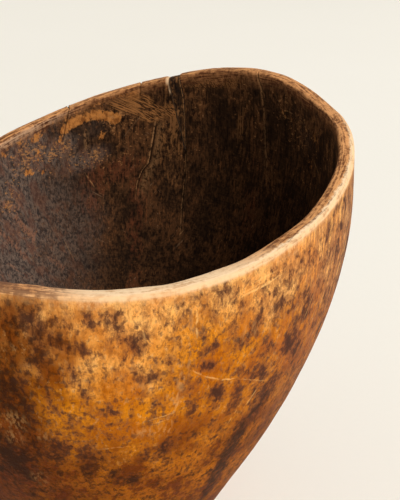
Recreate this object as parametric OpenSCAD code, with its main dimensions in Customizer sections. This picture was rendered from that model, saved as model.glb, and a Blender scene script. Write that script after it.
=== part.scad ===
// Deep carved wooden bowl, hollowed from one block, with a mended split in its wavy rim.
// Origin: centre of the flat foot. +Z is up, millimetres.

/* [Body] */
// Height of the rim above the foot, before its waves
rim_h = 255; // [240:1:275]
// Mean outer radius at the widest level
belly_r = 170; // [150:1:190]
// Height of the widest level above the foot
belly_z = 250; // [235:1:265]
// How much the radius shrinks at 100 mm below the widest level
taper = 18; // [15:0.1:19]
// How much of that shrinking is given back at 100 mm, which straightens the lower side
taper_ease = 0.55; // [0.3:0.05:0.8]
// How much the radius shrinks at 100 mm above the widest level
lip_taper = 8; // [0:0.1:12]
// Height and width of the worn, rounded edge of the foot
foot_round = 12; // [6:1:16]

/* [Plan] */
// Long axis of the plan, as a share of the radius
oval = 0.015; // [0:0.005:0.05]
// Direction of the long axis in degrees from +X
oval_dir = 50; // [0:1:180]
// Three-sidedness of the plan, as a share of the radius
trefoil = 0.012; // [0:0.001:0.03]
// Direction of one of its three corners in degrees from +X
trefoil_dir = -33; // [-60:1:60]

/* [Rim] */
// How strongly the rim rises and falls: 0 is level, 1 is as carved
rim_wave = 1; // [0:0.05:1.1]

/* [Hollow] */
// Thickness of the wall at the rim
wall_t = 10.5; // [8:0.5:14]
// Extra thickness that the wall has gained at the level of the foot
wall_gain = 5; // [0:0.5:10]
// Height of the rounded top edge of the rim
rim_round = 4; // [2:0.5:6]
// Thickness of the floor at its middle
floor_t = 24; // [18:1:32]
// Height over which the floor curves up into the wall
floor_curve = 75; // [60:1:90]

/* [Mended split] */
// Direction of the split from the axis in degrees from +X
split_dir = 73.8; // [60:0.1:90]
// Width of the split at the rim
split_w = 10; // [6:0.5:12]
// Depth of the split below the rim
split_d = 62; // [45:1:80]
// How far the split drifts sideways on its way down
split_drift = 13; // [0:0.5:14]
// Thickness of the resin between the slip of wood and the split's walls
resin_t = 0.8; // [0.5:0.1:1.5]
// How far the slip's top lies below the rim
slip_drop = 1; // [0.5:0.1:3]
// How far the resin's top lies below the rim
resin_drop = 1.6; // [0.5:0.1:3]

/* [Drying checks] */
// Width of an open check at the rim
check_w = 2; // [1:0.1:2.5]

/* [Hidden] */

// Rise of the hand-cut rim above rim_h in mm, every 20 degrees from +X towards +Y
RIM_RISE = [26, 30, 36, 31, 16, -2, -20, -37, -36, -29, -20, -11, -3, -8, -12, -9, 2, 15];

// Each open drying check: direction in degrees from +X, and depth below the rim in mm
CHECKS = [[103, 25], [82.8, 10], [46, 17]];

COLUMNS = 80;         // columns of facets round the bowl
SIDE_ROWS = 15;       // rows of facets up the outer side, above the foot's rounded edge
FOOT_ROWS = 4;        // rows in the foot's rounded edge
RIM_ROWS = 5;         // rows over the rounded rim
HOLLOW_ROWS = 14;     // rows down the hollow
CURVE_POWER = 2.2;    // squareness of the curve between floor and wall
LAST_ROW = 0.96;      // how far down the hollow its last row lies, 1 being the floor itself
ROW_CROWDING = 1.6;   // how strongly the hollow's rows crowd together towards the floor
CLEAR = 6;            // how far a cutter stands proud of the wall

// --- outline functions -----------------------------------------------------------------

// Rise of the rim in direction a, on a smooth closed curve through RIM_RISE
function rim_rise(a) =
    let (
        n = len(RIM_RISE),
        u = (a + 360) / 360 * n,
        i = floor(u),
        t = u - i,
        p = [for (k = [-1 : 2]) RIM_RISE[(i + k) % n]]
    )
    p[1] + t / 2 * (p[2] - p[0]
        + t * (2 * p[0] - 5 * p[1] + 4 * p[2] - p[3]
        + t * (3 * (p[1] - p[2]) + p[3] - p[0])));

function rim_z(a) = rim_h + rim_wave * rim_rise(a);

// Plan of the bowl: radius in direction a as a share of the mean radius
function plan(a) = 1 + oval * cos(2 * (a - oval_dir)) + trefoil * cos(3 * (a - trefoil_dir));

// Mean outer radius at height z, before the foot's edge is rounded
function side_r(z) =
    let (u = (belly_z - z) / 100)
    u > 0 ? belly_r - taper * pow(u, 2) + taper_ease * pow(u, 4)
          : belly_r - lip_taper * pow(u, 2);

// Wall thickness at height z, measured level
function wall_at(z) = wall_t + wall_gain * pow(max(0, 1 - z / rim_h), 2);

// Share of the full radius that the hollow reaches at height z, as its floor curves up
function hollow_share(z) =
    let (u = min(1, max(0, (z - floor_t) / floor_curve)))
    pow(1 - pow(1 - u, CURVE_POWER), 1 / CURVE_POWER);

function hollow_r(z) = (side_r(z) - wall_at(z)) * hollow_share(z);

function at(a, r, z) = [r * plan(a) * cos(a), r * plan(a) * sin(a), z];

// --- the column of points in direction a, from the foot over the rim to the floor ---------

function foot_points(a) = [
    for (i = [0 : FOOT_ROWS])
        let (t = 90 * i / FOOT_ROWS, z = foot_round * (1 - cos(t)))
        at(a, side_r(z) - foot_round * (1 - sin(t)), z)
];

function side_points(a) =
    let (top = rim_z(a) - rim_round)
    [
        for (i = [1 : SIDE_ROWS])
            let (z = foot_round + (top - foot_round) * i / SIDE_ROWS)
            at(a, side_r(z), z)
    ];

function rim_points(a) =
    let (
        z0 = rim_z(a) - rim_round,
        half = wall_at(z0) / 2,
        mid = side_r(z0) - half
    )
    [
        for (i = [1 : RIM_ROWS])
            let (t = 180 * i / (RIM_ROWS + 1))
            at(a, mid + half * cos(t), z0 + rim_round * sin(t))
    ];

function hollow_points(a) =
    let (top = rim_z(a) - rim_round)
    [
        for (i = [0 : HOLLOW_ROWS - 1])
            let (
                down = LAST_ROW * i / (HOLLOW_ROWS - 1),
                z = floor_t + (top - floor_t) * pow(1 - down, ROW_CROWDING)
            )
            at(a, hollow_r(z), z)
    ];

function column(a) = concat(foot_points(a), side_points(a), rim_points(a), hollow_points(a));

// --- solids -----------------------------------------------------------------------------

// The uncut wall and floor, as one closed skin
module carved_block() {
    rows = len(column(0));
    points = concat(
        [for (c = [0 : COLUMNS - 1]) each column(360 * c / COLUMNS)],
        [[0, 0, 0], [0, 0, floor_t]]
    );
    foot_centre = COLUMNS * rows;
    floor_centre = foot_centre + 1;
    function id(c, r) = (c % COLUMNS) * rows + r;
    faces = [
        for (c = [0 : COLUMNS - 1])
            each concat(
                [for (r = [0 : rows - 2]) each [
                    [id(c, r), id(c, r + 1), id(c + 1, r + 1)],
                    [id(c, r), id(c + 1, r + 1), id(c + 1, r)]
                ]],
                [
                    [foot_centre, id(c, 0), id(c + 1, 0)],
                    [floor_centre, id(c + 1, rows - 1), id(c, rows - 1)]
                ]
            )
    ];
    polyhedron(points = points, faces = faces, convexity = 6);
}

// Stands a flat outline up in direction a, its origin at the rim, and runs it through the wall
module through_wall(a) {
    r_out = belly_r * (1 + oval + trefoil) + CLEAR;
    r_in = belly_r / 2;
    rotate([0, 0, a])
        translate([r_out, 0, rim_z(a)])
            rotate([90, 0, -90])
                linear_extrude(height = r_out - r_in)
                    children();
}

// Outline of the split, drawn as seen from inside the bowl: it drifts sideways and ends in a point
module split_outline(inset) {
    half = split_w / 2;
    knee = split_d / 3;
    offset(delta = -inset)
        polygon([
            [-half, 2 * CLEAR],
            [-half + split_drift / 2, -knee],
            [split_drift, -split_d],
            [half + split_drift / 2, -knee],
            [half, 2 * CLEAR]
        ]);
}

// Outline of a check: check_w wide at the rim, running down to a point
module check_outline(depth) {
    half = check_w / 2 * (depth + CLEAR) / depth;
    polygon([[-half, CLEAR], [0, -depth], [half, CLEAR]]);
}

// --- the pieces -------------------------------------------------------------------------

module bowl() {
    color("#8a5a2b")
        difference() {
            carved_block();
            through_wall(split_dir) split_outline(0);
            for (c = CHECKS)
                through_wall(c[0]) check_outline(c[1]);
        }
}

module rim_sliver() {
    color("#6b5636")
        intersection() {
            translate([0, 0, -slip_drop]) carved_block();
            through_wall(split_dir) split_outline(resin_t);
        }
}

module seam_resin() {
    color("#2b1d14")
        intersection() {
            translate([0, 0, -resin_drop]) carved_block();
            through_wall(split_dir)
                difference() {
                    split_outline(0);
                    split_outline(resin_t);
                }
        }
}

bowl();
rim_sliver();
seam_resin();
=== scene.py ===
"""A carved wooden bowl: one hollowed block of wood with a wavy, worn rim, and the slip of wood and the
resin that mend the split in it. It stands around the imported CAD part, in the same frame: +Z up, origin at
the centre of the foot. The shape is worked out in millimetres, as in the CAD part, and made in metres."""

import math
from functools import cached_property

import bpy
import numpy as np
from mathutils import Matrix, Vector, noise


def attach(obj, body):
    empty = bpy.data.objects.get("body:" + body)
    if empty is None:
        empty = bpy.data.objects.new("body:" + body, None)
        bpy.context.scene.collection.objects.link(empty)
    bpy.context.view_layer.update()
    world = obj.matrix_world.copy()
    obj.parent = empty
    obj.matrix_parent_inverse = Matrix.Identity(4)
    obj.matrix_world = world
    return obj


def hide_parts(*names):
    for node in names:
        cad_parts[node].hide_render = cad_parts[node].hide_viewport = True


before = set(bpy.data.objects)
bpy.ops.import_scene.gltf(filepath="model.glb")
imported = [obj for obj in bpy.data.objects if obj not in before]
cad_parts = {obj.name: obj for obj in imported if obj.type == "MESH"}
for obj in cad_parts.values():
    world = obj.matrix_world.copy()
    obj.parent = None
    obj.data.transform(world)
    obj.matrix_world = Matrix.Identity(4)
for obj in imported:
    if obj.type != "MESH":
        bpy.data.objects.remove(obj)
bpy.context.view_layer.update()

MM = 0.001

# --- driving sizes in mm and degrees, the same as the CAD part's ---

RIM_H = 255
BELLY_R = 170
BELLY_Z = 250
TAPER = 18
TAPER_EASE = 0.55
LIP_TAPER = 8
FOOT_ROUND = 12
OVAL, OVAL_DIR = 0.015, 50
TREFOIL, TREFOIL_DIR = 0.012, -33
WALL_T = 10.5
WALL_GAIN = 5
RIM_ROUND = 4
FLOOR_T = 24
FLOOR_CURVE = 75
CURVE_POWER = 2.2
RIM_RISE = np.array([26, 30, 36, 31, 16, -2, -20, -37, -36, -29, -20, -11, -3, -8, -12, -9, 2, 15.0])

SPLIT_DIR = 73.8
SPLIT_W = 10
SPLIT_D = 62
SPLIT_DRIFT = 13
SPLIT_TOP = -12        # where the split's outline starts, above the rim
RESIN_T = 0.8
SLIP_DROP = 1.0
RESIN_DROP = 1.6
TIP_HALF = 0.6         # half the width in which the split ends
RIM_SQUARE = 0.6       # 1 makes the rim's section an ellipse, less makes it squarer
DEG_PER_MM = math.degrees(1 / 165)   # direction that one mm spans at the middle of the wall

# --- sizes of the mesh ---

FINE_STEP = 0.28       # degrees between columns beside a crack
WIDE_STEP = 1.08       # degrees between columns elsewhere
STEP_GROWTH = 0.35     # how fast the spacing grows away from a crack, in degrees a degree
UPPER_ROWS = 34        # rows down to the split's tip, on both sides of the wall
SIDE_ROWS = 56         # rows from there down to the foot's edge
FOOT_ROWS = 7
BASE_ROWS = 10
RIM_ROWS = 13
INNER_ROWS = 33        # rows from the split's tip down to where the floor begins to curve
FLOOR_ROWS = 50
SLIP_COLUMNS = 14
SLIP_ROWS = 44


# --- shape functions ---

def cosd(a):
    return np.cos(np.radians(a))


def sind(a):
    return np.sin(np.radians(a))


def smooth(value, low, high):
    """0 below low, 1 above high, and a smooth step between them; low may be above high."""
    t = np.clip((value - low) / (high - low), 0, 1)
    return t * t * (3 - 2 * t)


def rim_z(a):
    """Height of the rim in direction a, on a smooth closed curve through RIM_RISE."""
    n = len(RIM_RISE)
    u = np.mod(a, 360) / 360 * n
    i = np.floor(u).astype(int)
    t = u - i
    p0, p1, p2, p3 = (RIM_RISE[(i + k) % n] for k in (-1, 0, 1, 2))
    bend = 2 * p0 - 5 * p1 + 4 * p2 - p3 + t * (3 * (p1 - p2) + p3 - p0)
    return RIM_H + p1 + t / 2 * (p2 - p0 + t * bend)


def plan(a):
    return 1 + OVAL * cosd(2 * (a - OVAL_DIR)) + TREFOIL * cosd(3 * (a - TREFOIL_DIR))


def side_r(z):
    u = (BELLY_Z - z) / 100
    return np.where(u > 0, BELLY_R - TAPER * u**2 + TAPER_EASE * u**4, BELLY_R - LIP_TAPER * u**2)


def wall_at(z):
    return WALL_T + WALL_GAIN * np.maximum(0, 1 - z / RIM_H) ** 2


def at(a, r, z):
    """Points in direction a, at mean radius r and height z."""
    r, z = np.broadcast_arrays(r * plan(a), z)
    return np.stack([r * cosd(a), r * sind(a), z], axis=-1)


def split_x(side, depth, inset=0.0):
    """Sideways place of the split's edge at a depth below the rim; side is 1 or -1."""
    stations = [SPLIT_TOP, SPLIT_D / 3, SPLIT_D]
    middle = np.interp(depth, stations, [0, SPLIT_DRIFT / 2, SPLIT_DRIFT])
    half = np.interp(depth, stations, [SPLIT_W / 2, SPLIT_W / 2, TIP_HALF])
    return middle + side * np.maximum(half - inset, 0.02)


def split_edge(side, depth, inset=0.0):
    """Direction of the split's edge at a depth below the rim."""
    return SPLIT_DIR - DEG_PER_MM * split_x(side, depth, inset)


def lumps(points, size, seed, stretch=1.0):
    """Smooth noise from -1 to 1 over points in mm, with features of about size mm, stretched upwards."""
    scale = np.array([1, 1, 1 / stretch]) / size
    shift = 37.3 * seed
    return np.array([noise.noise(Vector(p) + Vector((shift, 0, 0))) for p in points * scale])


# --- guides: lines down the wall that columns of the mesh follow ---

def polyline(*stations):
    """Direction as a function of the depth below the rim, through (depth, direction) stations."""
    depths, directions = zip(*stations)
    return lambda depth: np.interp(depth, depths, directions)


def split_guide(side, *stations):
    """The split's edge, and below its tip the line through the stations."""
    depths, directions = zip((SPLIT_D, float(split_edge(side, SPLIT_D))), *stations)

    def direction(depth):
        return np.where(depth < SPLIT_D, split_edge(side, depth), np.interp(depth, depths, directions))

    return direction


# In order round the bowl. Only the guides that carry a crack or an edge of the split get fine columns.
GUIDES = {
    "still_1": polyline((0, 30)),
    "check_d": polyline((0, 45.7), (12, 43.6), (30, 42.6), (100, 40.3)),
    "still_2": polyline((0, 58)),
    "split_right": split_guide(1, (80, 69.0), (105, 69.0), (140, 68.2)),
    "split_left": split_guide(-1, (75, 70.7), (110, 71.4)),
    "crack": polyline((0, 77.2), (33, 78.0), (69, 80.2), (75, 82.1), (86, 83.6), (110, 84.3)),
    "check_c": polyline((0, 82.8), (10, 82.6), (33, 83.4), (69, 85.4), (86, 87.0), (110, 87.6)),
    "still_3": polyline((0, 92)),
    "nick": polyline((0, 98.6), (40, 98.1)),
    "check_b": polyline((0, 103), (14, 104.1), (30, 105.7)),
    "still_4": polyline((0, 114)),
}
FINE = ["check_d", "split_right", "split_left", "crack", "check_c", "nick", "check_b"]


def graded(low, high, fine_low, fine_high):
    """Directions from low up to but not including high, close together beside a fine end."""
    x = np.linspace(low, high, 400)
    step = np.full_like(x, WIDE_STEP)
    if fine_low:
        step = np.minimum(step, FINE_STEP + STEP_GROWTH * (x - low))
    if fine_high:
        step = np.minimum(step, FINE_STEP + STEP_GROWTH * (high - x))
    count = np.concatenate([[0], np.cumsum((x[1] - x[0]) / ((step[1:] + step[:-1]) / 2))])
    n = max(2, round(count[-1]))
    return np.interp(np.arange(n) / n * count[-1], count, x)


names = list(GUIDES)
starts = [float(GUIDES[n](0.0)) for n in names]
columns, owner, guide_column = [], [], {}
for i, name in enumerate(names):
    last = i == len(names) - 1
    end = starts[0] + 360 if last else starts[i + 1]
    part = graded(starts[i], end, name in FINE, not last and names[i + 1] in FINE)
    guide_column[name] = len(columns)
    columns += list(part)
    owner += [i] * len(part)
columns = np.array(columns)
owner = np.array(owner)
COLUMNS = len(columns)
share = np.array([
    (c - starts[o]) / ((starts[0] + 360 if o == len(names) - 1 else starts[o + 1]) - starts[o])
    for c, o in zip(columns, owner)
])
RIM_Z = rim_z(columns)


def directions(depth):
    """Each column's direction at its own depth below the rim: a fixed share of the way between guides."""
    at_guide = np.array([GUIDES[n](depth) for n in names] + [GUIDES[names[0]](depth) + 360])
    k = np.arange(COLUMNS)
    low = at_guide[owner, k]
    high = at_guide[owner + 1, k]
    return low + share * (high - low)


# --- the bowl's skin: rows of points from the middle of the foot, over the rim, to the floor ---

rows = []


def add_row(r, z, below_out, below_in):
    """One row of points. below_out and below_in are mm down the wall from the rim's two edges."""
    z = np.broadcast_to(z, COLUMNS)
    r = r(z) if callable(r) else r
    a = directions(RIM_Z - z)
    below = np.broadcast_to(below_out, COLUMNS), np.broadcast_to(below_in, COLUMNS)
    rows.append((at(a, r, z), a, RIM_Z - z, *below))


def hollow_r(z):
    u = np.clip((z - FLOOR_T) / FLOOR_CURVE, 0, 1)
    return (side_r(z) - wall_at(z)) * (1 - (1 - u) ** CURVE_POWER) ** (1 / CURVE_POWER)


FAR = 500   # mm, where a distance from the rim doesn't matter
flat_r = side_r(0.0) - FOOT_ROUND
for i in range(BASE_ROWS):
    add_row(flat_r * (i + 0.5) / BASE_ROWS, 0.0, FAR, -FAR)
for i in range(FOOT_ROWS):
    t = 90 * i / FOOT_ROWS
    z = FOOT_ROUND * (1 - cosd(t))
    add_row(side_r(z) - FOOT_ROUND * (1 - sind(t)), z, RIM_Z - z, -FAR)

tip_z = RIM_Z - SPLIT_D
for i in range(SIDE_ROWS):
    z = FOOT_ROUND + (tip_z - FOOT_ROUND) * i / SIDE_ROWS
    add_row(side_r, z, RIM_Z - z, -FAR)

upper = np.linspace(0, 1, UPPER_ROWS + 1)
upper_depth = RIM_ROUND + (SPLIT_D - RIM_ROUND) * (0.45 * upper + 0.55 * upper**2)
tip_out = len(rows)
for d in upper_depth[::-1]:
    add_row(side_r, RIM_Z - d, d, -FAR)

z0 = RIM_Z - RIM_ROUND
half = wall_at(z0) / 2
middle = side_r(z0) - half
for i in range(1, RIM_ROWS + 1):
    t = 180 * i / (RIM_ROWS + 1)
    across = np.sign(cosd(t)) * np.abs(cosd(t)) ** RIM_SQUARE
    over = sind(t) ** RIM_SQUARE
    from_out = (1 - across) / 2 * WALL_T
    add_row(middle + half * across, z0 + RIM_ROUND * over, -from_out, from_out - WALL_T)

for d in upper_depth:
    add_row(hollow_r, RIM_Z - d, -FAR, d)
tip_in = len(rows) - 1

curve_z = FLOOR_T + FLOOR_CURVE
for i in range(1, INNER_ROWS + 1):
    z = tip_z + (curve_z - tip_z) * i / INNER_ROWS
    add_row(hollow_r, z, -FAR, RIM_Z - z)
for i in range(1, FLOOR_ROWS):
    t = 90 * (1 - i / FLOOR_ROWS)
    u = 1 - cosd(t) ** (2 / CURVE_POWER)
    add_row(hollow_r, FLOOR_T + FLOOR_CURVE * u, -FAR, RIM_Z - FLOOR_T - FLOOR_CURVE * u)

skin, direction, depth, below_out, below_in = (np.array(values) for values in zip(*rows))
ROWS = len(rows)


def grid_normals(grid):
    across = np.roll(grid, -1, axis=1) - np.roll(grid, 1, axis=1)
    along = np.gradient(grid, axis=0)
    n = np.cross(across, along)
    return n / np.maximum(np.linalg.norm(n, axis=-1, keepdims=True), 1e-9)


normals = grid_normals(skin)
outside = below_out > -WALL_T / 2
inside = ~outside
on_rim = (below_out < 0) & (below_out > -WALL_T - 1)
above_foot = smooth(skin[..., 2], 0.0, 25.0)


def over_skin(values):
    return values.reshape(ROWS, COLUMNS)


flat = skin.reshape(-1, 3)

# The carver's blade leaves long shallow flutes; use and age leave soft lumps and a few dents.
flutes_out = over_skin(lumps(flat, 24, 1, stretch=2.6))
flutes_in = over_skin(lumps(flat, 15, 2, stretch=3.0))
swell = over_skin(lumps(flat, 70, 3))
dents = over_skin(lumps(flat, 9, 4, stretch=1.3))
grit = over_skin(lumps(flat, 4.5, 5, stretch=1.8))

lift = np.where(outside, 0.35 * flutes_out + 0.9 * swell, 0.55 * flutes_in + 0.8 * swell)
lift += 0.12 * dents + 0.05 * grit
lift -= np.where(inside, 0.5, 0.35) * smooth(dents, 0.35, 0.75)
rim_near = smooth(np.abs(np.minimum(np.abs(below_out), np.abs(below_in))), 14.0, 2.0)
lift = lift * (1 - 0.35 * rim_near)

# The rim's worn edge: uneven thickness, and a few small nicks bitten out of it.
level = np.stack([flat[:, 0], flat[:, 1], 0 * flat[:, 2]], 1)
thick = over_skin(lumps(level, 38, 6))
lift += np.where(inside, 1.1 * thick * smooth(below_in, 45.0, 0.0), 0)
top_wave = over_skin(lumps(level, 26, 8))
lift += 0.3 * top_wave * on_rim
bites = over_skin(lumps(level, 8, 7))
lift -= 0.7 * smooth(bites, 0.56, 0.8) * smooth(np.abs(below_out + 1), 5.0, 1.0)
lift -= 0.5 * smooth(-bites, 0.56, 0.8) * smooth(np.abs(below_in + 1), 5.0, 1.0)
lift *= above_foot

# The underside: a shallow cut hollow and a blade's marks, inside a ring on which the bowl rests.
radius = np.hypot(skin[..., 0], skin[..., 1])
under = (skin[..., 2] < 0.01) & outside
ring = smooth(radius, flat_r - 9, flat_r - 22)
lift = np.where(under, -ring * (0.7 + 0.35 * dents + 0.4 * np.abs(flutes_in)), lift)


def groove(guide, side, stations, lip=0.0, dark=1.0, pale=0.4):
    """Sinks one guide's column into the skin, by (depth below the rim, mm) stations, and raises its lips.
    dark is how black the groove is, partly painted shadow, and pale how much its left lip is rubbed, as
    seen from its own side."""
    depths, amounts = zip(*stations)
    c = guide_column[guide]
    sunk = np.interp(depth[:, c], depths, amounts)
    where = outside[:, c] if side == "out" else inside[:, c] | on_rim[:, c]
    sunk = np.where(where, sunk, 0)
    lift[:, c] -= sunk
    cut = smooth(sunk, 0.0, 0.5)
    crack[:, c] = np.maximum(crack[:, c], dark * cut)
    for k, rubbed in ((-1, 0.4 * pale), (1, pale)):
        lift[:, c + k] += np.where(sunk > 0.05, lip, 0)
        lips[:, c + k] = np.maximum(lips[:, c + k], rubbed * cut)


crack = np.zeros((ROWS, COLUMNS))
lips = np.zeros((ROWS, COLUMNS))
below_tip = [(61, 0), (62, 1.5), (80, 1.1), (110, 0.6), (140, 0)]
groove("split_right", "in", below_tip, lip=0.12, dark=0.9)
groove("split_right", "out", [(61, 0), (62, 1.4), (85, 0.7), (110, 0)])
groove("crack", "in", [(30, 0), (40, 0.5), (69, 0.6), (86, 0.35), (108, 0)], lip=0.25, dark=0.8, pale=0.95)
groove("check_c", "in", [(0, 0.8), (6, 0.8), (12, 0)], dark=0.6)
groove("check_c", "out", [(0, 0.8), (8, 0)])
groove("check_b", "in", [(0, 0.8), (8, 0.8), (22, 0.6), (30, 0)], lip=0.2, dark=0.7, pale=0.5)
groove("check_b", "out", [(0, 0.8), (14, 0.8), (25, 0)])
groove("check_d", "in", [(0, 1.6), (12, 1.4), (20, 0.3), (60, 0.15), (90, 0)], lip=0.1, pale=0.8)
groove("check_d", "out", [(0, 2.0), (10, 1.4), (17, 0)])
groove("nick", "in", [(21, 0), (24, 0.3), (37, 0.3), (42, 0)], lip=0.15, dark=0.2, pale=0.9)

# The split's left edge is broken back on the inner side, which shows paler wood, painted paler still as a
# highlight on its lit face.
left = guide_column["split_left"]
right = guide_column["split_right"]
broken = np.zeros((ROWS, COLUMNS))
for k in range(0, 5):
    c = left + k
    off = (direction[:, c] - direction[:, left]) / DEG_PER_MM
    reach = np.interp(depth[:, left], [0, 12], [1.9, 0.1])
    broken[:, c] = smooth(off, reach + 0.4, reach - 0.2) * smooth(depth[:, left], 14, 10)
broken[outside & ~on_rim] = 0
lift -= 0.9 * broken

skin = skin + normals * lift[..., None]


# --- marks laid on the skin: soft shapes that the materials break up with finer noise ---

on_skin = {"crack": crack, "lips": lips, "broken": broken}   # a value for each point, by layer
SIDES = {"out": (outside, BELLY_R), "in": (inside, BELLY_R - WALL_T)}   # its points, and mm from the axis


def mark(side, direction_0, depth_0, across, down, strength, lean=0.0):
    """A soft ellipse on one side of the wall, centred at a direction and a depth below the rim.
    across and down are its half sizes in mm, and lean turns it, clockwise as seen from its own side."""
    here, r = SIDES[side]
    x = np.radians((direction - direction_0 + 180) % 360 - 180) * r
    if side == "in":
        x = -x
    y = depth - depth_0
    u = x * cosd(lean) + y * sind(lean)
    v = -x * sind(lean) + y * cosd(lean)
    q = np.hypot(u / across, v / down)
    return np.where(here, strength * smooth(q, 1.6, 0.4), 0)


def stroke(side, half_width, strength, *stations):
    """A soft band of constant width through (direction, depth) stations on one side of the wall."""
    here, r = SIDES[side]
    around = np.radians(r)
    x = ((direction - stations[0][0] + 180) % 360 - 180) * around
    path = [((d - stations[0][0]) * around, e) for d, e in stations]
    nearest = np.full(direction.shape, np.inf)
    for (x0, y0), (x1, y1) in zip(path, path[1:]):
        dx, dy = x1 - x0, y1 - y0
        t = np.clip(((x - x0) * dx + (depth - y0) * dy) / (dx * dx + dy * dy), 0, 1)
        nearest = np.minimum(nearest, np.hypot(x - x0 - t * dx, depth - y0 - t * dy))
    return np.where(here, strength * smooth(nearest, 1.7 * half_width, 0.3 * half_width), 0)


def add_marks(layer, side, items, strokes=()):
    """Adds a layer of marks and strokes, each place taking the strongest of them."""
    total = np.zeros((ROWS, COLUMNS))
    for item in items:
        total = np.maximum(total, mark(side, *item))
    for item in strokes:
        total = np.maximum(total, stroke(side, *item))
    on_skin[layer] = total


# Each mark: direction, depth below the rim, half width, half height, strength, lean.
# Each stroke: half width, strength, and its (direction, depth) stations.
add_marks("bare", "in", [
    (84.5, 8, 7, 5, 0.8), (118.4, 7, 3, 6, 0.8), (113.2, 12, 8, 4, 0.75, -15),
    (123.6, 11, 4, 5, 0.7), (121.5, 18, 4, 4, 0.6), (112.9, 27, 2.5, 6, 0.7),
    (116.5, 36, 6, 3, 0.85, 35), (112.1, 41, 2.5, 4, 0.65), (103.4, 34, 6, 3, 0.5),
    (93.9, 32, 4, 5, 0.6), (89.3, 36, 3, 4, 0.45), (125, 49, 4, 4, 0.65), (19.3, 26, 5, 5, 0.6, 20),
    (33, 26, 12, 4, 0.5, 15), (21.5, 46, 9, 5, 0.45, 30), (205, 40, 16, 9, 0.6, 20),
    (238, 30, 12, 6, 0.6, -25), (330, 34, 14, 7, 0.5, 10),
], [
    (4.4, 1.0, (104.6, 17), (102, 13), (98.5, 12), (95, 14), (91.5, 19), (89.5, 23)),
    (2.2, 0.7, (106, 24), (104.5, 13), (104, 6)),
    (2.5, 0.5, (124, 8), (112, 6), (96, 5), (86, 4)),
])
add_marks("flecked", "in", [
    (106, 30, 16, 9, 0.8), (116, 22, 14, 14, 0.9), (98, 46, 20, 9, 0.8), (122, 40, 10, 18, 0.7),
    (93, 22, 22, 12, 0.5), (121, 85, 14, 14, 0.5), (30, 30, 30, 16, 0.5), (212, 50, 40, 26, 0.7),
    (325, 40, 40, 20, 0.6),
])
add_marks("scraped", "in", [
    (88, 12, 10, 5, 1, 25), (83.5, 16, 12, 8, 1, 25), (79.5, 27, 10, 7, 0.9, 25),
    (74, 27, 8, 6, 0.6, 10), (60, 9, 26, 6, 0.5), (290, 26, 22, 9, 0.7, 15),
])
add_marks("streaked", "in", [
    (73.5, 40, 13, 34, 1), (73.5, 75, 12, 30, 0.6), (51, 48, 7, 24, 0.8), (40, 60, 5, 40, 0.5),
    (170, 50, 20, 40, 0.7), (270, 70, 16, 50, 0.7),
])
add_marks("reddish", "in", [
    (98, 70, 14, 26, 0.9, 20), (88.5, 66, 16, 12, 0.9), (84, 120, 9, 50, 0.9),
    (45, 105, 9, 50, 0.5), (150, 80, 22, 40, 0.7), (225, 90, 26, 40, 0.6), (310, 90, 18, 50, 0.6),
])
add_marks("creased", "in", [], [
    (1.6, 1.0, (123.2, 61), (117.9, 87)),
    (1.3, 0.7, (120.2, 75), (116.8, 84)),
    (1.5, 0.8, (129.2, 63), (122.1, 95)),
    (1.6, 0.9, (126, 46), (121.6, 57)),
    (1.4, 0.6, (114, 106), (109, 122)),
    (1.5, 0.7, (172, 60), (180, 84)),
    (1.5, 0.7, (226, 76), (221, 98)),
])
add_marks("stained", "out", [
    (264.5, 22, 9, 8, 1, 25), (262, 16, 8, 5, 0.9, 10), (266.5, 28, 5, 6, 0.9, 40),
    (270.7, 34, 7, 5, 0.9, 20), (263.8, 40, 4, 7, 0.9), (273.1, 12, 3.5, 8, 0.8),
    (278.5, 17, 4, 7, 0.85, -20), (269.2, 8, 3, 5, 0.7), (261, 8, 9, 5, 0.7),
    (281.6, 30, 7, 10, 0.6), (284.6, 55, 7, 4, 0.8), (290.9, 7.5, 4, 3, 0.8),
    (293.7, 9.6, 3, 4, 0.8), (286, 23.5, 7, 2.5, 0.8, -30), (297.2, 58, 5, 4, 0.8),
    (299.9, 80, 7, 7, 1), (305.9, 92, 5, 11, 1), (294.2, 84, 5, 10, 0.9),
    (318.5, 73, 5, 8, 0.9, -15), (323.0, 84, 7, 15, 1, -20), (310.1, 82, 8, 7, 0.9),
    (297.6, 45, 7, 4, 0.8), (305.3, 49, 5, 6, 0.9), (307.7, 39, 5, 6, 0.8), (312.8, 36, 6, 4, 0.8),
    (322.9, 58, 4, 9, 0.9), (335, 40, 5, 8, 0.7), (289.8, 117, 6, 9, 1),
    (284.4, 122, 5, 6, 0.9, 40), (281.8, 145, 7, 6, 1), (270.9, 125, 7, 18, 0.9),
    (277.5, 140, 6, 9, 0.6), (256.3, 76, 12, 22, 0.9), (251.9, 133, 14, 22, 0.9),
    (262, 118, 10, 12, 0.6), (345, 60, 12, 30, 0.6), (20, 90, 16, 24, 0.8),
    (62, 60, 12, 30, 0.7, -15), (110, 110, 22, 20, 0.8), (150, 40, 12, 18, 0.7, 20),
    (185, 80, 20, 26, 0.8), (228, 50, 12, 22, 0.7),
], [
    (8, 1.0, (317, 108), (314, 125), (312, 146), (311.6, 172), (313, 204)),
    (9, 0.7, (70, 100), (66, 150), (60, 190)),
    (9, 0.7, (200, 110), (206, 150), (215, 190)),
])
add_marks("pale_out", "out", [
    (255.5, 94, 7, 7, 0.55), (254, 110, 6, 6, 0.55), (261, 104, 5, 4, 0.5), (257, 148, 6, 6, 0.5),
    (285, 99, 12, 4, 0.6, 10), (293.5, 22, 5, 12, 0.45), (283, 62, 8, 4, 0.45),
    (306, 44, 8, 6, 0.5), (311, 46, 6, 9, 0.5),
], [
    (2.6, 0.75, (292, 50), (291, 68), (289.8, 90), (289, 104)),
])


# --- meshes ---

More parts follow.
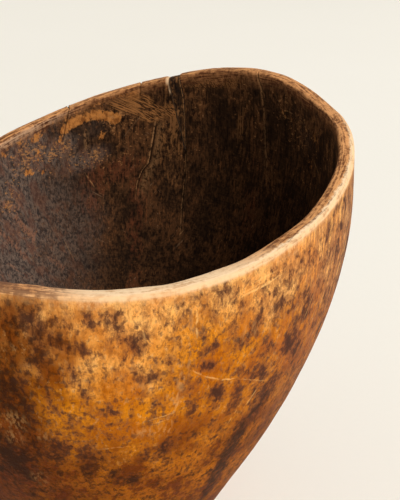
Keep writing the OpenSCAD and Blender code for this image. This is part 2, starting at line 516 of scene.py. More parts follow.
def make_piece(name, points, faces, layers, slot_name, node):
    """A smooth closed mesh from points in mm, with a float attribute for each layer, on the root body."""
    mesh = bpy.data.meshes.new(name)
    mesh.from_pydata((points * MM).tolist(), [], faces)
    for layer, values in layers.items():
        mesh.attributes.new(layer, "FLOAT", "POINT").data.foreach_set("value", values.astype(np.float32))
    mesh.polygons.foreach_set("use_smooth", [True] * len(mesh.polygons))
    mesh.set_sharp_from_angle(angle=math.radians(50))
    mesh.update()
    piece = bpy.data.objects.new(name, mesh)
    bpy.context.scene.collection.objects.link(piece)
    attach(piece, "root")
    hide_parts(node)
    return piece


def bowl_faces():
    """Quads over the whole skin but for the split, whose two sides and bottom run through the wall."""
    faces = []
    for r in range(ROWS - 1):
        for c in range(COLUMNS):
            if right <= c < left and tip_out <= r < tip_in:
                continue
            n = (c + 1) % COLUMNS
            faces.append((r * COLUMNS + c, r * COLUMNS + n, (r + 1) * COLUMNS + n, (r + 1) * COLUMNS + c))
    foot, floor = ROWS * COLUMNS, ROWS * COLUMNS + 1
    for c in range(COLUMNS):
        n = (c + 1) % COLUMNS
        faces.append((foot, n, c))
        faces.append((floor, (ROWS - 1) * COLUMNS + c, (ROWS - 1) * COLUMNS + n))
    for c, turn in ((right, 1), (left, -1)):
        for k in range(UPPER_ROWS):
            low_out, low_in = tip_out + k, tip_in - k
            quad = [low_out, low_in, low_in - 1, low_out + 1]
            faces.append(tuple(r * COLUMNS + c for r in quad[::turn]))
        top_out, top_in = tip_out + UPPER_ROWS, tip_in - UPPER_ROWS
        cap = [top_out] + list(range(top_in, top_out, -1))
        faces.append(tuple(r * COLUMNS + c for r in cap[::turn]))
    for c in range(right, left):
        out, inn = tip_out * COLUMNS, tip_in * COLUMNS
        faces.append((out + c, out + c + 1, inn + c + 1, inn + c))
    return faces


def used_only(points, faces, layers):
    """Leaves out the points that no face uses."""
    used = np.zeros(len(points), bool)
    used[np.concatenate([np.array(f) for f in faces])] = True
    new_id = np.cumsum(used) - 1
    faces = [tuple(int(new_id[i]) for i in f) for f in faces]
    return points[used], faces, {n: v[used] for n, v in layers.items()}


def with_centres(grid, foot_value=0, floor_value=0):
    return np.append(grid.reshape(-1), [foot_value, floor_value])


floor_z = float(skin[-1, :, 2].mean())
foot_z = float(skin[0, :, 2].mean())
points = np.concatenate([skin.reshape(-1, 3), [[0, 0, foot_z], [0, 0, floor_z]]])
layers = {
    "over_rim": with_centres(np.where(inside & ~on_rim, WALL_T + below_in, -below_out), -FAR, FAR),
}
for name, values in on_skin.items():
    layers[name] = with_centres(values)
bowl = make_piece("carved_bowl", *used_only(points, bowl_faces(), layers), "carved_wood", "bowl")


def loft(rings):
    """Closed mesh through rings of equal length, with a cap at each end."""
    n = rings.shape[1]
    points = rings.reshape(-1, 3)
    faces = []
    for j in range(len(rings) - 1):
        for i in range(n):
            k = (i + 1) % n
            faces.append((j * n + i, (j + 1) * n + i, (j + 1) * n + k, j * n + k))
    faces.append(tuple(range(n)))
    faces.append(tuple(range(len(points) - 1, len(points) - n - 1, -1)))
    return points, faces


def rim_at(a):
    return rim_z(np.atleast_1d(a))


def make_sliver():
    """The slip of wood in the split: splintered fibres, a ragged top and a narrow tip."""
    across = np.linspace(1, -1, SLIP_COLUMNS + 1)
    width_end = SPLIT_D - 3.0
    u = np.linspace(0, 1, SLIP_ROWS + 1)
    ragged = 0.5 * np.array([noise.noise(Vector((3.1 * w, 0, 5))) for w in across])
    fibre = np.array([noise.noise(Vector((6.3 * w, 2, 0))) for w in across])
    rings, tone = [], []
    for t in u:
        d = SLIP_DROP + 0.6 * (1 + ragged * 2) * (1 - t) ** 6 + (width_end - SLIP_DROP) * t**1.1
        lo = split_x(-1, d, RESIN_T)
        hi = split_x(1, d, RESIN_T)
        x = (lo + hi) / 2 + across * (hi - lo) / 2
        a = SPLIT_DIR - DEG_PER_MM * x
        z = rim_at(a) - d
        # over the top the slip is rounded like the rim, so its faces lie deeper there
        shoulder = 0.5 * wall_at(z) * 0.55 * np.clip(1 - (d - SLIP_DROP) / RIM_ROUND, 0, 1) ** 2
        wave = 0.28 * fibre * smooth(d, 1, 6) + 0.12 * np.sin(d * 0.9 + 5 * across)
        out = at(a, side_r(z) - 0.25 - shoulder + wave, z)
        inn = at(a, side_r(z) - wall_at(z) + 0.25 + shoulder - wave, z)
        rings.append(np.concatenate([out, inn[::-1]]))
        tone.append(np.concatenate([across, across[::-1]]))
    points, faces = loft(np.array(rings))
    return points, faces, {"sideways": np.concatenate(tone)}


def make_resin():
    """The dark filler on both sides of the slip of wood and round its tip."""
    run = np.linspace(0, 1, SLIP_ROWS + 1)
    legs = [(-1, RESIN_DROP + (SPLIT_D - RESIN_DROP) * run), (1, SPLIT_D - (SPLIT_D - RESIN_DROP) * run)]
    rings = []
    for side, depths in legs:
        for d in depths:
            a = np.array([split_edge(side, d), split_edge(side, d, RESIN_T)])
            z = rim_at(a) - d
            sag = 0.45 + 0.25 * noise.noise(Vector((d * 0.21, side, 0)))
            shoulder = 2.2 * max(0.0, 1 - (d - RESIN_DROP) / RIM_ROUND) ** 2
            out = at(a, side_r(z) - sag - shoulder, z)
            inn = at(a, side_r(z) - wall_at(z) + sag + shoulder, z)
            rings.append(np.array([out[0], out[1], inn[1], inn[0]]))
    points, faces = loft(np.array(rings))
    return points, faces, {"run": np.repeat(np.linspace(0, 1, len(rings)), 4)}


sliver = make_piece("split_sliver", *make_sliver(), "mend_wood", "rim_sliver")
resin = make_piece("split_resin", *make_resin(), "resin", "seam_resin")


# --- materials ---

def srgb(*screen):
    """A colour given as three screen values from 0 to 255, as the linear RGBA that the shader takes."""
    shares = [c / 255 for c in screen]
    linear = [c / 12.92 if c < 0.04045 else ((c + 0.055) / 1.055) ** 2.4 for c in shares]
    return (*linear, 1.0)


class Paint:
    """Short calls that build one material's nodes; each returns the output socket."""

    def __init__(self, name, **shader_values):
        self.material = bpy.data.materials.new(name)
        self.material.use_nodes = True
        self.tree = self.material.node_tree
        self.shader = self.tree.nodes["Principled BSDF"]
        for key, value in shader_values.items():
            self.shader.inputs[key.replace("_", " ")].default_value = value
        self.place = self.tree.nodes.new("ShaderNodeTexCoord").outputs["Object"]

    def put(self, kind, values, **settings):
        node = self.tree.nodes.new(kind)
        for key, value in settings.items():
            setattr(node, key, value)
        for key, value in values.items():
            if isinstance(value, bpy.types.NodeSocket):
                self.tree.links.new(value, node.inputs[key])
            else:
                node.inputs[key].default_value = value
        return node

    def turned(self, scale, turn=(0, 0, 0)):
        """The place on the piece, turned by degrees and then scaled."""
        turn = [math.radians(t) for t in turn]
        spun = self.put("ShaderNodeMapping", {"Vector": self.place, "Rotation": turn})
        return self.put("ShaderNodeMapping", {"Vector": spun.outputs[0], "Scale": scale}).outputs[0]

    def noise(self, vector, detail=4.0, rough=0.55, warp=0.0):
        values = {"Vector": vector, "Scale": 1.0, "Detail": detail, "Roughness": rough, "Distortion": warp}
        return self.put("ShaderNodeTexNoise", values).outputs["Fac"]

    def layer(self, name):
        return self.put("ShaderNodeAttribute", {}, attribute_name=name).outputs["Fac"]

    def math(self, operation, a, b=0.0, c=0.0):
        return self.put("ShaderNodeMath", {0: a, 1: b, 2: c}, operation=operation).outputs[0]

    def step(self, value, low, high):
        """0 at low, 1 at high, smooth between them; low may be above high."""
        values = {"Value": value, "From Min": low, "From Max": high, "To Min": 0.0, "To Max": 1.0}
        if low > high:
            values.update({"From Min": high, "From Max": low, "To Min": 1.0, "To Max": 0.0})
        return self.put("ShaderNodeMapRange", values, interpolation_type="SMOOTHSTEP").outputs[0]

    def mix(self, share, a, b):
        """Colour a where the share is 0 and b where it is 1; both are sockets or screen values."""
        a, b = (srgb(*c) if isinstance(c, tuple) else c for c in (a, b))
        return self.put("ShaderNodeMix", {0: share, 6: a, 7: b}, data_type="RGBA").outputs[2]

    def lay(self, under, colour, *shares):
        """A colour laid over the one under it, as strongly as the shares' product says."""
        return self.mix(self.times(*shares), under, colour)

    def times(self, *values):
        total = values[0]
        for value in values[1:]:
            total = self.math("MULTIPLY", total, value)
        return total

    def plus(self, *values):
        total = values[0]
        for value in values[1:]:
            total = self.math("ADD", total, value)
        return total

    def swing(self, noise, amount):
        """A noise's swing about its middle, times an amount."""
        return self.times(self.plus(noise, -0.5), amount)

    def weighted(self, *parts):
        """The sum of noises, each times its weight."""
        return self.plus(*[self.times(noise, weight) for noise, weight in parts])

    def finish(self, colour, roughness, height, depth):
        links = self.tree.links
        links.new(colour, self.shader.inputs["Base Color"])
        links.new(roughness, self.shader.inputs["Roughness"])
        bump = self.put("ShaderNodeBump", {"Height": height, "Strength": 1.0, "Distance": depth})
        links.new(bump.outputs[0], self.shader.inputs["Normal"])
        return self.material


WOOD_RELIEF = 0.0006     # metres of bump on the bowl
LINE_FADE = (1.3, 0.2)   # where a drawn line fades in and is full, in shares of its half size

# Drawn lines: direction and height of both ends, half width, strength
SCRATCHES_OUT = [
    (302, 229.5, 313.4, 236.4, 0.9, 1), (305, 237, 311.8, 239.6, 0.8, 0.7),
    (303.5, 232.3, 308.6, 236.2, 0.5, 0.6), (293.5, 229, 293.9, 209, 1, 0.9),
    (292.4, 189, 296.8, 180, 0.6, 0.5), (296, 181, 300.8, 173.8, 0.6, 0.7),
    (300, 174, 305, 170.8, 0.7, 0.8), (304.6, 171, 315.5, 156.5, 0.5, 0.5),
    (313.5, 158, 309, 134, 0.9, 0.6), (309, 150, 306, 128, 0.7, 0.5),
    (284, 153, 291.5, 157.5, 0.6, 0.6), (286, 150, 289.5, 151.5, 0.6, 0.5),
    (272, 131, 282, 133, 0.5, 0.35), (283, 223, 283.6, 212, 0.7, 0.4), (326, 214, 322, 186, 0.6, 0.4),
    (334, 238, 331, 214, 0.6, 0.4), (14, 170, 24, 196, 0.6, 0.5), (57, 226, 63, 214, 0.6, 0.5),
    (113, 165, 127, 175, 0.6, 0.5), (168, 200, 172, 180, 0.6, 0.5), (209, 154, 221, 168, 0.6, 0.5),
    (236, 192, 244, 188, 0.5, 0.4),
]
SCRATCHES_IN = [
    (99.5, 197, 96.6, 184, 0.5, 0.7), (69.1, 150, 67.6, 154, 0.5, 0.6),
    (42.6, 240, 40.6, 215, 0.5, 0.5), (36.9, 268.5, 29.7, 267.5, 0.5, 0.6),
    (38, 263, 31.5, 263, 0.4, 0.5), (20.5, 243, 14.5, 234, 0.5, 0.5),
    (107.9, 146, 105.2, 130, 0.5, 0.35),
]

# The bowl's noises: scale along each axis, detail, roughness, warp; the wood's fibres run upwards
WOOD_NOISES = {
    "broad": ((11, 11, 9), 2, 0.55),
    "patchy": ((42, 42, 30), 4, 0.6),
    "blotch": ((118, 118, 78), 6, 0.7, 0.3),
    "spot": ((250, 250, 170), 5, 0.65, 0.2),
    "grain": ((390, 390, 210), 4, 0.6),
    "fleck": ((480, 480, 330), 4, 0.65),
    "fibre": ((520, 520, 26), 4, 0.6),
    "fine_fibre": ((1300, 1300, 60), 3, 0.6),
    "thread": ((90, 90, 1000), 3, 0.6),
}


class WoodPaint(Paint):
    """The bowl's paint, with the places and the noises that all parts of its skin share."""

    def __init__(self):
        super().__init__("carved_wood_worn", Specular_IOR_Level=0.04, Specular_Tint=(1.0, 0.8, 0.6, 1.0))
        # mm over the rim from its outer edge, less than 0 down the outside
        self.over = self.layer("over_rim")
        self.out_mm = self.times(self.over, -1.0)
        self.in_mm = self.plus(self.over, -WALL_T)
        parts = self.put("ShaderNodeSeparateXYZ", {"Vector": self.place})
        self.side_x, self.side_y, self.height = parts.outputs

        for noise_name, (scale, *kind) in WOOD_NOISES.items():
            setattr(self, noise_name, self.noise(self.turned(scale), *kind))

        # one more noise, which runs along the rim
        rim_place = self.put("ShaderNodeCombineXYZ", {
            0: self.times(self.side_x, 70),
            1: self.times(self.side_y, 70),
            2: self.times(self.over, 0.7),
        })
        self.rim_streak = self.noise(rim_place.outputs[0], detail=5, rough=0.65)

    @cached_property
    def grainy(self):
        """Fine grain, which breaks up the edges of patches."""
        return self.swing(self.grain, 0.45)

    @cached_property
    def on_wall(self):
        """The place on the wall laid flat, in metres round it and up it."""
        angle = self.math("ARCTAN2", self.side_y, self.side_x)
        warp = self.swing(self.spot, 0.003)
        flat = {0: self.times(angle, BELLY_R * MM), 1: self.plus(self.height, warp)}
        return self.put("ShaderNodeCombineXYZ", flat).outputs[0]

    def drawn(self, lines):
        """How strongly each place on the wall is marked by straight soft lines."""
        marked = 0.0
        for a0, z0, a1, z1, half_width, strength in lines:
            middle_a = math.radians(((a0 + a1) / 2 + 180) % 360 - 180)
            run, rise = math.radians(a1 - a0) * BELLY_R, z1 - z0
            values = {
                "Vector": self.on_wall,
                "Location": (middle_a * BELLY_R * MM, (z0 + z1) / 2 * MM, 0),
                "Rotation": (0, 0, math.atan2(rise, run)),
                "Scale": (math.hypot(run, rise) / 2 * MM, half_width * MM, 1),
            }
            local = self.put("ShaderNodeMapping", values, vector_type="TEXTURE").outputs[0]
            far = self.put("ShaderNodeVectorMath", {0: local}, operation="LENGTH").outputs["Value"]
            marked = self.math("MAXIMUM", marked, self.times(self.step(far, *LINE_FADE), strength))
        return marked


def outer_ground(p):
    """Pale amber under the rim, richer below, with fine grain, and painted shade that makes it darker and
    more saturated towards the foot and on the left. Also gives where these two painted shades lie."""
    bands = p.plus(p.height, p.swing(p.broad, 0.12), p.swing(p.patchy, 0.07))
    amber = p.mix(p.step(p.patchy, 0.36, 0.64), (236, 156, 74), (255, 190, 108))
    rich = p.mix(p.step(p.patchy, 0.36, 0.64), (186, 100, 2), (216, 132, 14))
    amber = p.lay(amber, rich, p.step(bands, 0.235, 0.19))
    # painted shade and a painted warm bounce: darker, more saturated amber towards the foot
    lower_shade = p.step(bands, 0.175, 0.10)
    low_patch = p.step(p.plus(p.blotch, p.swing(p.patchy, 0.8)), 0.38, 0.58)
    low_amber = p.mix(low_patch, (92, 38, 0), (200, 114, 6))
    amber = p.lay(amber, low_amber, lower_shade, 0.95)
    # painted shade on the left, low down and under the rim at the front, away from the light
    left_shade = p.times(p.step(bands, 0.205, 0.12), p.step(p.side_x, 0.05, -0.07))
    ragged_x = p.plus(p.side_x, p.swing(p.patchy, 0.12), p.swing(p.blotch, 0.05))
    upper_left_shade = p.times(
        p.step(bands, 0.245, 0.205),
        p.step(ragged_x, 0.014, -0.034),
        p.step(p.side_y, 0.0, -0.12),
    )
    left_shade = p.math("MAXIMUM", left_shade, upper_left_shade)
    amber = p.lay(amber, (90, 34, 0), left_shade, 0.8)
    # painted sheen: a paler, greyer brown along the right edge, where the wall turns away and catches a
    # grazing reflection
    right_sheen = p.times(p.step(p.side_x, 0.085, 0.155), p.step(p.fibre, 0.34, 0.58))
    amber = p.lay(amber, (148, 98, 68), right_sheen, 0.8)
    amber = p.lay(amber, (116, 60, 18), p.step(p.fibre, 0.5, 0.72), 0.25)

    # brown between the grains, and a painted highlight on some of them, on the lit side
    amber = p.lay(amber, (122, 60, 20), p.step(p.grain, 0.49, 0.36), 0.48)
    grain_glint = p.times(p.step(p.grain, 0.54, 0.68), p.step(p.patchy, 0.34, 0.56), 0.55)
    grain_glint = p.times(grain_glint, p.step(p.side_x, -0.14, -0.02))
    amber = p.lay(amber, p.mix(lower_shade, (246, 192, 120), (214, 130, 28)), grain_glint)
    return amber, lower_shade, left_shade


def outer_mottling(p, amber, lower_shade, left_shade):
    """Soft brown patches, darker cores and specks, denser where the wood is stained; their tones are
    darker and more saturated in the painted shade low down and on the left.
    """
    stain = p.times(p.layer("stained"), p.plus(0.15, p.times(lower_shade, 0.07)))
    density = p.plus(stain, p.swing(p.patchy, 0.26))
    # the painted shade low down and on the left, which darkens the tones of the patches below
    lower_shade = p.math("MAXIMUM", lower_shade, left_shade)
    density = p.plus(density, p.times(p.step(p.side_x, 0.02, 0.17), 0.05), p.times(left_shade, 0.06))
    reach = p.plus(p.blotch, density, p.grainy)
    spots = p.plus(p.spot, p.times(density, 0.8), p.swing(p.blotch, 0.4), p.grainy)
    near_rim = p.step(p.plus(p.out_mm, p.swing(p.blotch, 40)), 14, 3)
    keep = p.math("SUBTRACT", 1.0, p.times(near_rim, 0.5))
    patch_tone = p.mix(lower_shade, (124, 70, 42), (84, 38, 6))
    spot_tone = p.mix(lower_shade, (84, 46, 34), (62, 28, 6))
    core_tone = p.mix(lower_shade, (54, 32, 28), (40, 20, 8))
    outside = p.lay(amber, patch_tone, p.step(reach, 0.43, 0.66), 0.7, keep)
    outside = p.lay(outside, spot_tone, p.step(spots, 0.50, 0.67), 0.65, keep)
    cores = p.step(p.plus(reach, p.swing(p.spot, 0.5)), 0.58, 0.82)
    outside = p.lay(outside, core_tone, cores, 0.75, keep)
    specks = p.step(p.plus(p.fleck, p.swing(p.patchy, 0.3)), 0.57, 0.65)
    specks = p.times(specks, 0.5, keep)
    return p.lay(outside, p.mix(lower_shade, (84, 46, 32), (54, 24, 4)), specks)


def outer_wear(p, outside):
    """Rubs and scratches that lie across the grain, and the pale edge at the rim, dimmed by painted shade
    on the front left.
    """
    scratched = p.times(p.drawn(SCRATCHES_OUT), p.step(p.grain, 0.34, 0.56), p.step(p.out_mm, 1.0, 4.0))
    outside = p.lay(outside, (240, 184, 112), scratched, 0.8)
    scuff = p.step(p.plus(p.grain, p.swing(p.fibre, 1.2)), 0.42, 0.66)
    outside = p.lay(outside, (232, 170, 102), p.layer("pale_out"), scuff, 0.5)
    wander = p.plus(p.swing(p.patchy, 22), p.swing(p.rim_streak, 14))
    rubbed = p.step(p.plus(p.out_mm, wander), 10, -2)
    tan_share = p.step(p.plus(p.grain, p.swing(p.spot, 0.6)), 0.38, 0.60)
    tan = p.mix(tan_share, (186, 120, 66), (234, 176, 116))
    # painted shade: the pale edge is dimmed at the front left, away from the light
    rim_band_shade = p.times(p.step(p.side_y, -0.10, -0.14), p.step(p.side_x, 0.005, -0.02), 0.55)
    return p.lay(outside, tan, rubbed, p.math("SUBTRACT", 0.8, rim_band_shade))


def hollow_ground(p):
    """Near-black, with brown showing through in ragged patches and upright streaks."""
    mottle = p.weighted((p.fibre, 0.22), (p.fine_fibre, 0.22), (p.fleck, 0.30), (p.spot, 0.14))
    mottle = p.plus(mottle, p.times(p.thread, 0.12))
    dark = p.mix(p.step(mottle, 0.43, 0.57), (30, 18, 11), (68, 44, 27))
    ragged_patch = p.plus(p.patchy, p.swing(p.spot, 0.9), p.swing(p.grain, 0.6))
    dark = p.lay(dark, (82, 52, 31), p.step(ragged_patch, 0.50, 0.68), 0.6)
    black_gap = p.plus(p.patchy, p.swing(p.blotch, 0.9), p.swing(p.grain, 0.5))
    dark = p.lay(dark, (22, 15, 11), p.step(black_gap, 0.48, 0.34), 0.55)
    worn_fibre = p.step(p.plus(p.fibre, p.times(p.fine_fibre, 0.6)), 0.84, 1.02)
    dark = p.lay(dark, (122, 76, 42), worn_fibre, p.step(p.patchy, 0.42, 0.58), 0.45)
    dashes = p.times(
        p.step(p.thread, 0.56, 0.68),
        p.step(p.grain, 0.46, 0.60),
        p.step(p.blotch, 0.50, 0.62),
    )
    dark = p.lay(dark, (126, 90, 58), dashes, 0.5)
    upper_in = p.step(p.in_mm, 75, 12)
    upper_in = p.times(upper_in, p.step(p.plus(p.spot, p.swing(p.patchy, 1.2)), 0.48, 0.66))
    dark = p.lay(dark, (122, 80, 48), upper_in, p.step(p.grain, 0.42, 0.58), 0.55)
    red_area = p.plus(p.layer("reddish"), p.swing(p.patchy, 2.4), p.swing(p.fibre, 2.6))
    red_area = p.times(p.step(red_area, 0.45, 1.3), p.step(mottle, 0.40, 0.56))
    dark = p.lay(dark, (100, 49, 31), red_area, 0.5)
    worn_area = p.step(p.plus(p.layer("streaked"), p.swing(p.patchy, 1.8)), 0.3, 1.1)
    tan_streak = p.step(p.plus(p.fibre, p.times(p.fleck, 0.7)), 0.83, 0.98)
    return p.lay(dark, (136, 92, 54), worn_area, tan_streak, 0.75)


def hollow_left_sheen(p, dark):
    """The left wall is slate grey from a painted sheen of the light on its dark skin, with reddish streaks
    and brown creases in it.
    """
    # painted sheen: the left wall, which faces the light, turns slate grey
    sheen_area = p.plus(p.times(p.step(p.side_x, 0.02, -0.11), 0.75), p.swing(p.broad, 0.8))
    sheen_area = p.plus(sheen_area, p.times(p.layer("flecked"), 0.4))
    fine = p.weighted((p.grain, 0.22), (p.fleck, 0.46), (p.fine_fibre, 0.32))
    grey_sheen = p.mix(p.step(fine, 0.42, 0.58), (60, 52, 50), (120, 102, 91))
    sheen_gap = p.step(p.plus(p.spot, p.swing(p.patchy, 0.8), p.swing(p.blotch, 0.6)), 0.50, 0.66)
    grey_sheen = p.lay(grey_sheen, (50, 43, 43), sheen_gap, 0.6)
    red_streak = p.noise(p.turned((150, 150, 60), (0, 20, 0)), rough=0.6)
    grey_sheen = p.lay(grey_sheen, (112, 74, 60), p.step(red_streak, 0.50, 0.62), 0.55)
    dark = p.lay(dark, grey_sheen, p.step(sheen_area, 0.1, 0.7), 0.75)
    lean = p.noise(p.turned((480, 480, 16), (-26, 38, 0)), detail=3, rough=0.6)
    leaning = p.times(p.step(lean, 0.55, 0.66), p.step(sheen_area, 0.2, 0.8), p.step(fine, 0.40, 0.54))
    dark = p.lay(dark, (140, 100, 78), leaning, 0.5)
    creased = p.times(p.step(p.layer("creased"), 0.1, 0.8), p.step(fine, 0.40, 0.54))
    return p.lay(dark, (136, 92, 70), creased, 0.75)


def hollow_scratches(p, dark):
    """Long soft scratches in two leans, and single thin ones."""
    for turn, low in (((0, 58, 10), 0.64), ((0, -40, 20), 0.65)):
        line = p.noise(p.turned((620, 620, 8), turn), detail=3, rough=0.6)
        mask = p.times(p.step(line, low, low + 0.07), p.step(p.patchy, 0.48, 0.64))
        dark = p.lay(dark, (132, 104, 80), mask, 0.45)
    return p.lay(dark, (170, 124, 80), p.drawn(SCRATCHES_IN), p.step(p.grain, 0.36, 0.50), 0.85)


def hollow_flakes(p, dark):
    """Bare wood where the dark skin has flaked off, crumbs of it, and a fan of scrape marks."""
    bare_mark = p.layer("bare")
    flake = p.plus(bare_mark, p.swing(p.blotch, 1.3), p.swing(p.fleck, 1.6))
    orange = p.mix(p.step(p.plus(p.spot, p.grainy), 0.34, 0.62), (128, 76, 36), (194, 126, 64))
    flaked = p.times(p.step(flake, 0.46, 0.78), p.step(bare_mark, 0.02, 0.25))
    dark = p.lay(dark, orange, flaked, 0.95)
    crumb = p.noise(p.turned((330, 330, 560)), rough=0.7, warp=0.3)
    crumb_area = p.plus(p.times(p.layer("flecked"), 0.14), p.swing(p.patchy, 0.35))
    crumbs = p.step(p.plus(crumb, crumb_area, p.swing(p.spot, 0.3)), 0.63, 0.74)
    crumbs = p.times(crumbs, p.step(p.in_mm, 130, 30), 0.75)
    dark = p.lay(dark, (172, 120, 74), crumbs)
    scrape_area = p.plus(p.layer("scraped"), p.swing(p.spot, 0.6))
    dark = p.lay(dark, (60, 38, 22), p.step(scrape_area, 0.2, 0.7), 0.6)
    scrape = p.noise(p.turned((1050, 1050, 30), (0, 66, 0)), detail=3, rough=0.6)
    scrape = p.times(p.step(scrape, 0.46, 0.56), p.step(scrape_area, 0.1, 0.7))
    return p.lay(dark, (168, 112, 64), scrape, 0.75)


def hollow_rubbed(p, dark):
    """The hollow's upper edge is rubbed through to brown."""
    wander = p.plus(p.swing(p.patchy, 24), p.swing(p.rim_streak, 22))
    ragged = p.plus(p.in_mm, wander)
    brown_share = p.step(p.plus(p.rim_streak, p.grainy), 0.38, 0.62)
    brown = p.mix(brown_share, (84, 46, 28), (182, 124, 78))
    return p.lay(dark, brown, p.step(ragged, 13, 1), 0.85)


def rim_top(p):
    """The rim's top: brown, with a painted highlight along its outer edge on the front right, pale right
    across at the front, partly wear and partly painted highlight, and browner in painted shade at the front
    left.
    Also gives the streaks along the rim and where its front is."""
    top = p.plus(p.rim_streak, p.swing(p.patchy, 0.4), p.grainy)
    # painted highlight along the outer edge, on the front right only
    edge = p.step(p.plus(p.over, p.swing(p.spot, 6)), 4.2, 2.0)
    edge = p.times(edge, p.step(p.side_x, -0.02, 0.02), p.step(p.side_y, 0.05, -0.02))
    front = p.times(p.step(p.side_y, -0.115, -0.15), p.step(p.side_x, -0.025, 0.02))
    streak_tone = p.mix(front, (110, 68, 42), (196, 148, 104))
    rim_tone = p.mix(p.step(top, 0.36, 0.62), streak_tone, (214, 154, 100))
    # pale right across at the front: partly wear, partly painted highlight
    front_highlight = p.times(front, p.step(p.plus(p.over, p.swing(p.patchy, 8)), 0.0, 4.0))
    pale = p.times(p.math("MAXIMUM", edge, front_highlight), p.step(top, 0.24, 0.54))
    rim_tone = p.lay(rim_tone, (242, 214, 176), pale, 0.9)
    thin_edge = p.step(p.plus(p.over, p.swing(p.spot, 3)), 2.4, 0.8)
    rim_tone = p.lay(rim_tone, (226, 178, 128), thin_edge, 0.5)
    # painted shade: the rim is browner at the front left, away from the light
    front_left_shade = p.step(p.side_y, -0.10, -0.14)
    leftward = p.step(p.plus(p.side_x, p.swing(p.patchy, 0.06)), 0.005, -0.02)
    front_left_shade = p.times(front_left_shade, leftward)
    rim_tone = p.lay(rim_tone, (118, 82, 60), front_left_shade, p.step(top, 0.66, 0.42), 0.8)
    return rim_tone, top, front


def joined_sides(p, outside, rim_tone, dark, top, front):
    """The outside, the rim's top and the hollow in one. The hollow's lip is black with a pale edge at
    the front, partly wear and partly painted highlight, and worn on the left, where its pale tone is also
    partly a painted highlight. Also gives where the hollow begins."""
    from_in = p.step(p.plus(p.in_mm, p.swing(p.spot, 3)), -1.5, 0.5)
    # pale edge of the hollow's lip at the front: partly wear, partly painted highlight
    front_lip_highlight = p.times(front, p.step(p.plus(p.in_mm, p.swing(p.spot, 3)), 1.6, 0.4))
    from_out = p.step(p.plus(p.out_mm, p.swing(p.spot, 8)), -1.5, 5.5)
    dark = p.lay(dark, (30, 19, 12), front, p.step(p.in_mm, 16, 2))
    dark = p.lay(dark, (214, 176, 134), front_lip_highlight)
    # worn pale lip on the left: partly wear, partly a painted highlight where it faces the light
    worn_lip_glint = p.times(
        p.step(p.side_x, -0.02, -0.06),
        p.step(p.side_y, 0.04, 0.09),
        p.step(p.in_mm, 9, 3),
    )
    dark = p.lay(dark, (204, 164, 130), worn_lip_glint, p.step(top, 0.34, 0.56), 0.75)
    colour = p.mix(from_out, rim_tone, outside)
    return p.mix(from_in, colour, dark), from_in


def cracked(p, colour):
    """Pale at the broken edge of the split, partly fresh wood and partly a painted highlight on its lit
    face, pale lips beside the cracks, and black in them, partly the cracks' own dark and partly painted
    shadow.
    """
    # pale broken edge: partly fresh wood, partly a painted highlight on the face that looks towards the
    # light
    colour = p.lay(colour, (226, 190, 150), p.layer("broken"), 0.95)
    pale_lip = p.times(p.layer("lips"), p.step(p.plus(p.fleck, p.grainy), 0.36, 0.56), 0.8)
    colour = p.lay(colour, (176, 128, 84), pale_lip)
    # black in the cracks: their own dark, deepened with painted shadow
    return p.lay(colour, (14, 9, 6), p.step(p.layer("crack"), 0.25, 0.9), 0.92)


def carved_wood():
    """The bowl's one material: the sides, the rim between them, and what is cracked."""
    p = WoodPaint()
    outside = outer_wear(p, outer_mottling(p, *outer_ground(p)))
    dark = hollow_left_sheen(p, hollow_ground(p))
    dark = hollow_flakes(p, hollow_scratches(p, dark))
    dark = hollow_rubbed(p, dark)
    rim_tone, top, front = rim_top(p)
    colour, from_in = joined_sides(p, outside, rim_tone, dark, top, front)
    colour = cracked(p, colour)
    rough = p.plus(0.40, p.times(p.blotch, 0.2), p.times(p.fleck, 0.12), p.times(from_in, 0.06))
    relief = p.weighted((p.fibre, 0.5), (p.fleck, 0.35), (p.fine_fibre, 0.3), (p.patchy, 0.5))
    relief = p.plus(relief, p.times(p.grain, 0.5), p.times(p.thread, 0.15))
    return p.finish(colour, rough, relief, WOOD_RELIEF)


def mend_wood():
    """Dark like the hollow's skin, with worn upright streaks and a painted highlight along its right edge.
    """
    p = Paint("slip_of_wood", Specular_IOR_Level=0.1)
    fibre = p.noise(p.turned((1000, 1000, 34)), rough=0.6)
    tone = p.noise(p.turned((250, 250, 130)), detail=5, rough=0.65)
    grain = p.noise(p.turned((390, 390, 300)), rough=0.6)
    streak = p.step(p.weighted((fibre, 0.6), (grain, 0.4)), 0.43, 0.57)
    colour = p.mix(streak, (26, 15, 9), (112, 74, 42))
    colour = p.lay(colour, (24, 15, 10), p.step(tone, 0.54, 0.40), 0.75)
    worn = p.step(p.plus(tone, p.swing(grain, 0.8)), 0.54, 0.66)
    colour = p.lay(colour, (142, 98, 58), worn, 0.7)
    # painted highlight along the slip's right edge
    edge = p.times(p.step(p.layer("sideways"), 0.84, 0.98), p.step(grain, 0.36, 0.50))
    colour = p.lay(colour, (186, 136, 84), edge, 0.85)
    return p.finish(colour, p.plus(0.5, p.times(tone, 0.3)), fibre, 0.0008)


def dark_resin():
    """Dark and lumpy, and dusty along its first half, on the split's left as seen from inside."""
    p = Paint("dark_resin", Specular_IOR_Level=0.3)
    lump = p.noise(p.turned((420, 420, 200)))
    grit = p.noise(p.turned((1900, 1900, 1900)), detail=2)
    colour = p.mix(p.step(lump, 0.4, 0.65), (24, 15, 10), (50, 31, 20))
    dusty = p.step(p.layer("run"), 0.53, 0.47)
    colour = p.lay(colour, (88, 62, 40), dusty, 0.8)
    return p.finish(colour, p.plus(0.3, p.times(grit, 0.35)), p.plus(lump, p.times(grit, 0.3)), 0.0008)


bowl.data.materials.append(carved_wood())
sliver.data.materials.append(mend_wood())
resin.data.materials.append(dark_resin())


# --- stage, light and camera ---

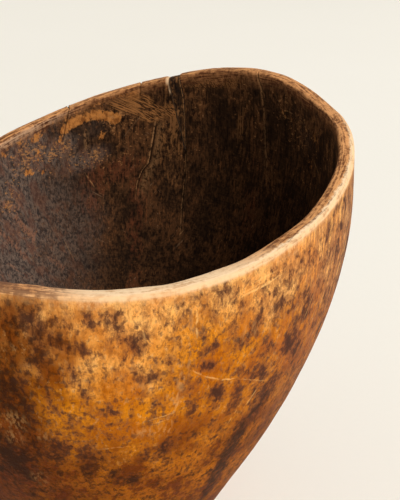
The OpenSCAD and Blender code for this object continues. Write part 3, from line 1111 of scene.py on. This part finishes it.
def make_floor():
    """A large pale floor of squares, at the level of the foot."""
    reach, n = 40.0, 24
    line = np.linspace(-reach, reach, n + 1)
    points = [(x, y, 0.0) for y in line for x in line]
    faces = [
        (j * (n + 1) + i, j * (n + 1) + i + 1, (j + 1) * (n + 1) + i + 1, (j + 1) * (n + 1) + i)
        for j in range(n)
        for i in range(n)
    ]
    mesh = bpy.data.meshes.new("studio_floor")
    mesh.from_pydata(points, [], faces)
    floor = bpy.data.objects.new("studio_floor", mesh)
    bpy.context.scene.collection.objects.link(floor)
    p = Paint("pale_floor")
    tone = p.noise(p.turned((1.5, 1.5, 1.5)), detail=2)
    grain = p.noise(p.turned((160, 160, 160)), detail=3)
    colour = p.mix(tone, (241, 239, 233), (237, 235, 228))
    floor.data.materials.append(p.finish(colour, p.plus(0.75, p.times(grain, 0.1)), grain, 0.0002))


def make_light(kind, name, energy, colour, place, target, **settings):
    data = bpy.data.lights.new(name, kind)
    data.energy = energy
    data.color = colour
    for key, value in settings.items():
        setattr(data, key, value)
    light = bpy.data.objects.new(name, data)
    light.location = place
    light.rotation_euler = (Vector(target) - Vector(place)).to_track_quat("-Z", "Y").to_euler()
    bpy.context.scene.collection.objects.link(light)


make_floor()
make_light("SUN", "key", 3.0, (1.0, 0.965, 0.91), (1.7, -1.9, 2.8), (0, 0, 0.15), angle=math.radians(24))
make_light("AREA", "window", 7, (0.97, 0.985, 1.0), (1.9, 0.5, 1.5), (0, 0, 0.2), size=1.3)


def make_sky():
    """An even pale surround that dims towards the top, where a studio has no wall."""
    world = bpy.data.worlds.new("studio")
    bpy.context.scene.world = world
    world.use_nodes = True
    tree = world.node_tree
    towards = tree.nodes.new("ShaderNodeTexCoord")
    split = tree.nodes.new("ShaderNodeSeparateXYZ")
    dim = tree.nodes.new("ShaderNodeMapRange")
    dim.interpolation_type = "SMOOTHSTEP"
    for socket, value in (("From Min", 0.05), ("From Max", 0.45), ("To Min", 0.86), ("To Max", 0.30)):
        dim.inputs[socket].default_value = value
    background = tree.nodes["Background"]
    background.inputs["Color"].default_value = srgb(250, 246, 238)
    tree.links.new(towards.outputs["Generated"], split.inputs[0])
    tree.links.new(split.outputs["Z"], dim.inputs["Value"])
    tree.links.new(dim.outputs[0], background.inputs["Strength"])


make_sky()

CAMERA_PITCH = 24        # degrees below the horizon
CAMERA_DISTANCE = 0.742
LOOK_AT = Vector((0.0685, 0, 0.196))
SENSOR = 36
FOCAL_SHARE = 2.16       # focal length over the height of the frame

camera = bpy.data.objects.new("camera", bpy.data.cameras.new("camera"))
camera.data.sensor_fit = "VERTICAL"
camera.data.sensor_height = SENSOR
camera.data.lens = SENSOR * FOCAL_SHARE
camera.rotation_euler = (math.radians(90 - CAMERA_PITCH), 0, 0)
pitch = math.radians(CAMERA_PITCH)
camera.location = LOOK_AT - CAMERA_DISTANCE * Vector((0, math.cos(pitch), -math.sin(pitch)))
bpy.context.scene.collection.objects.link(camera)
bpy.context.scene.camera = camera
bpy.context.scene.view_settings.view_transform = "Standard"
